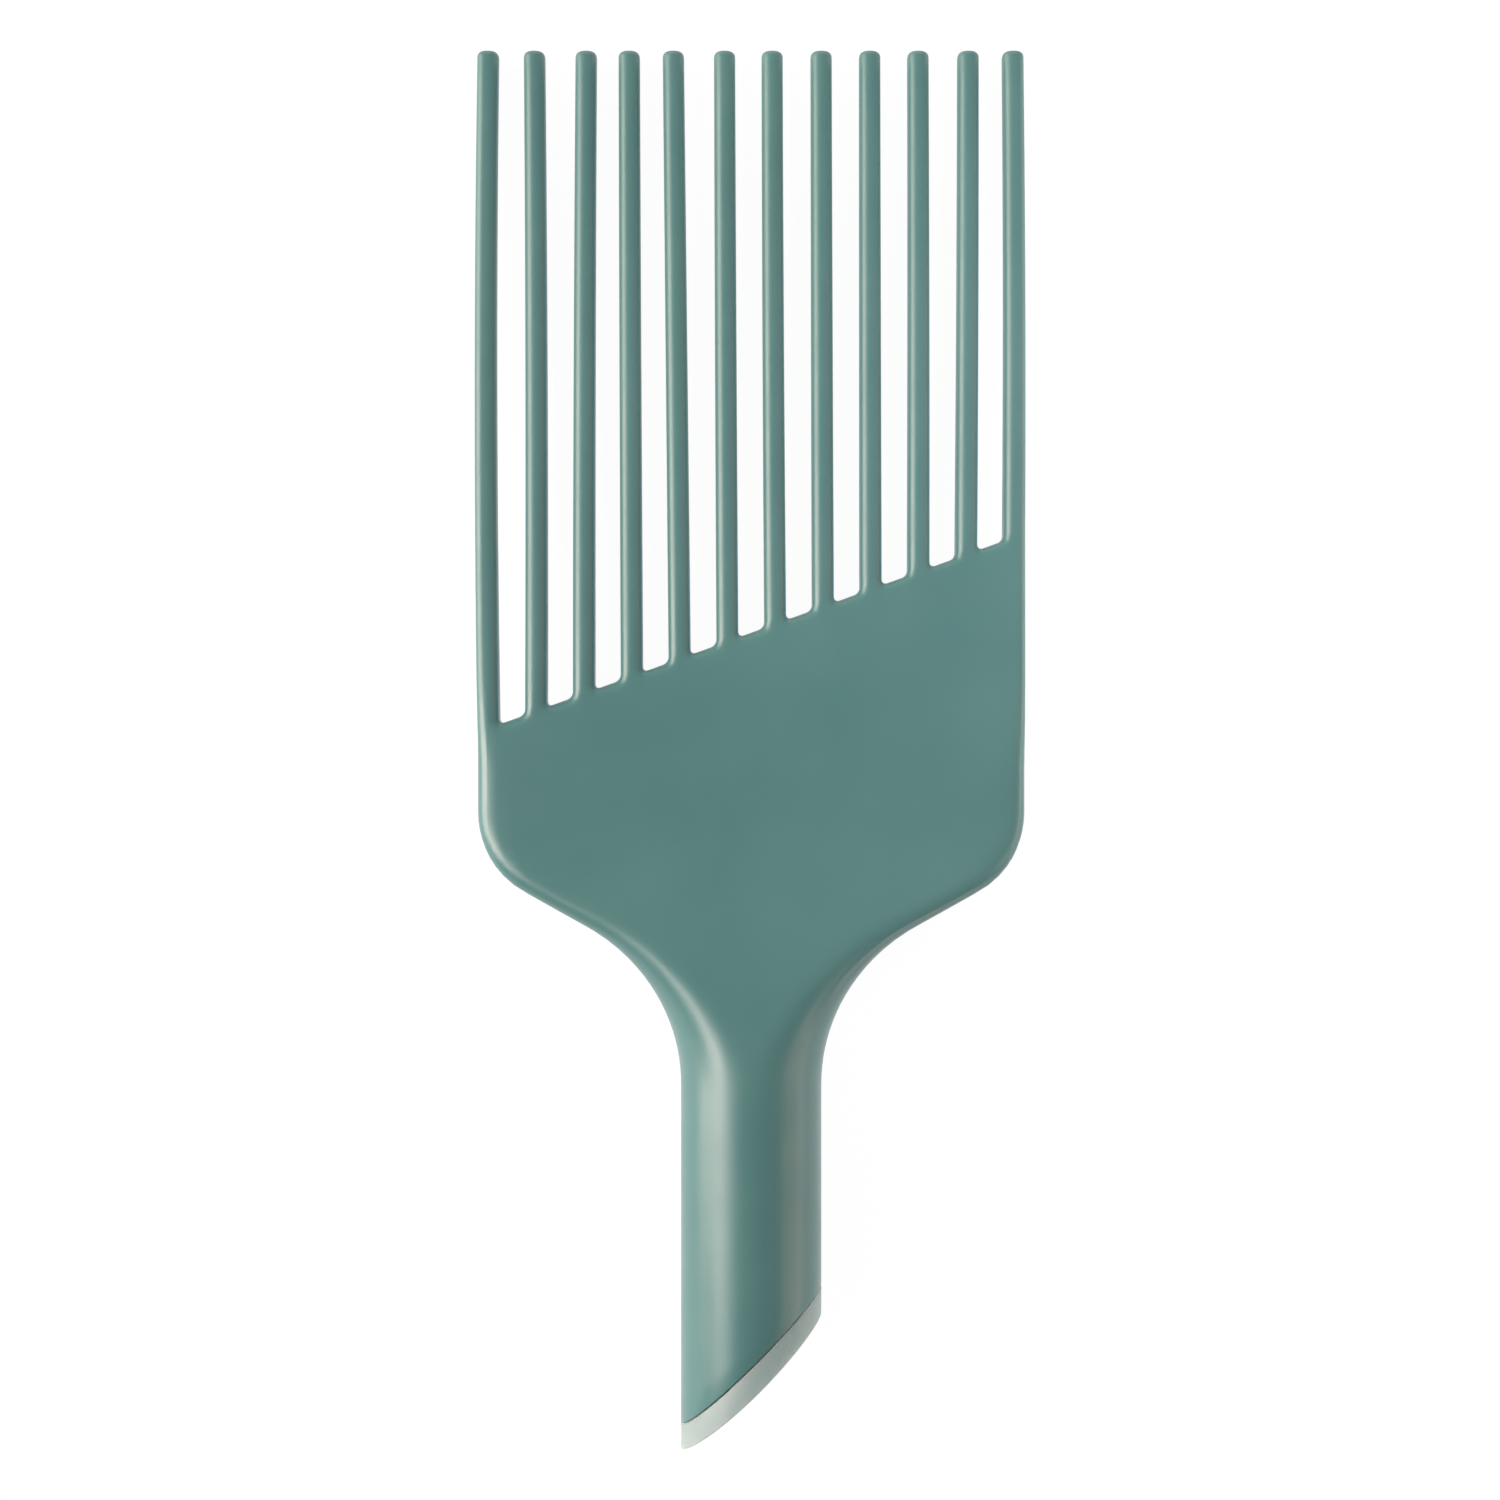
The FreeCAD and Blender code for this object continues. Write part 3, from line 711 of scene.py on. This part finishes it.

# %% [markdown]
# ## Frosted plastic
#
# The cap is a milky plastic that lets some light through. Full transmission would show the empty core behind
# it, which the real cap hides, so the light is scattered under the surface instead: a pale colour, much
# subsurface, and a rougher, frosted skin. Towards its upper end the colour is painted paler. This is painted
# light that stands in for more light coming through the cap than the scattering gives.

# %% The frosted plastic
MILKY_DARK = (0.295, 0.38, 0.385)
MILKY_LIGHT = (0.315, 0.40, 0.405)
MILKY_PAINTED_LIGHT = (0.38, 0.50, 0.505)
FROST_ROUGHNESS = (0.46, 0.54)
FROST_DEPTH = 0.03 * MM
frosted, nodes, links = new_material("frosted_plastic")
shader = nodes["Principled BSDF"]
cloud = spread(nodes, links, add_noise(nodes, links, scale=120, detail=3), 0, 1)
cloudy = mix_colours(nodes, links, cloud, MILKY_DARK, MILKY_LIGHT)
across = nodes.new("ShaderNodeSeparateXYZ")
links.new(own_place(nodes), across.inputs["Vector"])
# Painted light: towards the cap's upper end its colour is mixed into a paler one, which stands in for light
# coming through.
upper = map_range(nodes, links, across.outputs["X"], 0, GRIP_RADIUS * MM, 0, 1)
painted_light_mix = mix_colours(nodes, links, upper, MILKY_LIGHT, MILKY_PAINTED_LIGHT)
links.new(cloudy.outputs["Result"], painted_light_mix.inputs["A"])
links.new(painted_light_mix.outputs["Result"], shader.inputs["Base Color"])
shader.inputs["Subsurface Weight"].default_value = 0.8
shader.inputs["Subsurface Radius"].default_value = (1.0, 1.0, 1.0)
shader.inputs["Subsurface Scale"].default_value = 8 * MM
grain = add_noise(nodes, links, scale=700, detail=3)
links.new(spread(nodes, links, grain, *FROST_ROUGHNESS), shader.inputs["Roughness"])
links.new(add_bump(nodes, links, grain, FROST_DEPTH), shader.inputs["Normal"])
cap_piece.data.materials.append(frosted)
print(frosted.name, "on", cap_piece.name)

# %% [markdown]
# ## Floor, light and camera
#
# The photograph is a catalogue shot: the pick fills a white frame and is seen square to its flat face. A white
# floor lies under it, turned up at its far border, so that a view along the floor ends in white too. More
# light could make the floor white, but it would wash out the pick. So the floor glows, but only for what looks
# at it, looks through something at it or mirrors it, and it keeps a faint shadow. The light that it throws
# back on to the pick is that of a plain pale floor.
#
# A large softbox on the left makes the broad highlight along the grip. Two more on that side fill the
# highlight's upper flank and the tines. On the right a weaker one warms the grip's far side. Small cards and a
# low strip close to the floor lift the tips, the right shoulder and the right sides of the tines.

# %% The white floor
FLOOR_HALF = 6
FLOOR_RIM = 0.5
floor_mesh = bmesh.new()
bmesh.ops.create_grid(floor_mesh, x_segments=1, y_segments=1, size=FLOOR_HALF)
_, rim_verts = extrude_loop(floor_mesh, floor_mesh.edges[:])
bmesh.ops.translate(floor_mesh, vec=(0, 0, FLOOR_RIM), verts=rim_verts)
floor = make_object(floor_mesh, "white_floor")
print("floor", 2 * FLOOR_HALF, "m across, turned up by", FLOOR_RIM, "m")

# %% White paper for the floor
PAPER = (0.6, 0.6, 0.6, 1)
WHITE = (1, 1, 1, 1)
GLOW = 1.16
GLOW_SHARE = 0.82
white, nodes, links = new_material("white_paper")
nodes.remove(nodes["Principled BSDF"])
paper = nodes.new("ShaderNodeBsdfDiffuse")
paper.inputs["Color"].default_value = PAPER
glow = nodes.new("ShaderNodeEmission")
glow.inputs["Color"].default_value = WHITE
glow.inputs["Strength"].default_value = GLOW
rays = nodes.new("ShaderNodeLightPath").outputs
seen = add_math(nodes, links, "MAXIMUM", rays["Is Camera Ray"], rays["Is Glossy Ray"])
seen = add_math(nodes, links, "MAXIMUM", seen, rays["Is Transmission Ray"])
glow_share = map_range(nodes, links, seen, 0, 1, 0, GLOW_SHARE)
blend = nodes.new("ShaderNodeMixShader")
links.new(glow_share, blend.inputs["Fac"])
links.new(paper.outputs["BSDF"], blend.inputs[1])
links.new(glow.outputs["Emission"], blend.inputs[2])
links.new(blend.outputs["Shader"], nodes["Material Output"].inputs["Surface"])
floor.data.materials.append(white)
print(white.name, "on", floor.name)

# %% The pale room
ROOM_TINT = (0.96, 1, 1, 1)
ROOM_STRENGTH = 0.30
world = bpy.data.worlds.new("studio")
bpy.context.scene.world = world
world.use_nodes = True
room = world.node_tree.nodes["Background"]
room.inputs["Color"].default_value = ROOM_TINT
room.inputs["Strength"].default_value = ROOM_STRENGTH
print("room of strength", ROOM_STRENGTH)

# %% Softboxes and cards


def add_softbox(name, place, faces, size, watts, tint):
    """An area light at a place, in metres, that faces a point."""
    lamp = bpy.data.lights.new(name, "AREA")
    lamp.shape = "RECTANGLE"
    lamp.size, lamp.size_y = size
    lamp.energy = watts
    lamp.color = tint
    box = bpy.data.objects.new(name, lamp)
    bpy.context.collection.objects.link(box)
    box.visible_camera = False
    box.location = place
    box.rotation_euler = (Vector(faces) - Vector(place)).to_track_quat("-Z", "Y").to_euler()
    return box


add_softbox("left_softbox", (-0.87, 0.03, 0.30), faces=(0, 0.03, 0),
            size=(0.44, 1.06), watts=12.7, tint=(1.0, 0.86, 0.76))
add_softbox("upper_left_softbox", (-0.64, -0.15, 0.66), faces=(0, -0.15, 0),
            size=(0.37, 0.5), watts=1.6, tint=(1.0, 0.94, 0.88))
add_softbox("tine_softbox", (-0.78, 0.41, 0.30), faces=(0, 0.11, 0),
            size=(0.30, 0.7), watts=3.0, tint=(1.0, 0.86, 0.73))
add_softbox("tip_card", (0, 0.21, 0.035), faces=(0, 0.112, 0.004),
            size=(0.18, 0.05), watts=0.05, tint=(1.0, 0.86, 0.70))
add_softbox("right_softbox", (0.90, -0.27, 0.16), faces=(0, -0.22, 0),
            size=(0.26, 1.04), watts=1.75, tint=(1.0, 0.79, 0.63))
right_card = add_softbox("right_card", (0.12, 0.06, 0.045), faces=(0, 0.06, 0),
                         size=(0.08, 0.25), watts=0.18, tint=(1.0, 0.97, 0.96))
add_softbox("low_strip", (0.5, 0.135, 0.025), faces=(0, 0.135, 0),
            size=(0.43, 0.05), watts=0.4, tint=(1.0, 0.80, 0.62))
add_softbox("shoulder_card", (0.14, -0.20, 0.03), faces=(0.034, -0.023, 0),
            size=(0.16, 0.05), watts=0.05, tint=(1.0, 0.82, 0.70))
# So close to the tines, the card's own reflection would draw a grey line on each of them.
right_card.visible_glossy = False
print("four softboxes, a low strip and three cards")

# %% Camera square to the pick
SENSOR = 36
DISTANCE = 440
FRAME_PIXELS = 1500
PIXEL = 0.1647
AIM = (-0.2, 54.94)
lens = bpy.data.cameras.new("camera")
lens.sensor_width = SENSOR
lens.lens = SENSOR * DISTANCE / (FRAME_PIXELS * PIXEL)
camera = bpy.data.objects.new("camera", lens)
bpy.context.collection.objects.link(camera)
camera.matrix_world = Matrix.Translation(lay_down @ Vector((*AIM, DISTANCE))) @ turn
bpy.context.scene.camera = camera
bpy.context.scene.view_settings.view_transform = "Standard"
print("lens", round(lens.lens, 1), "mm")
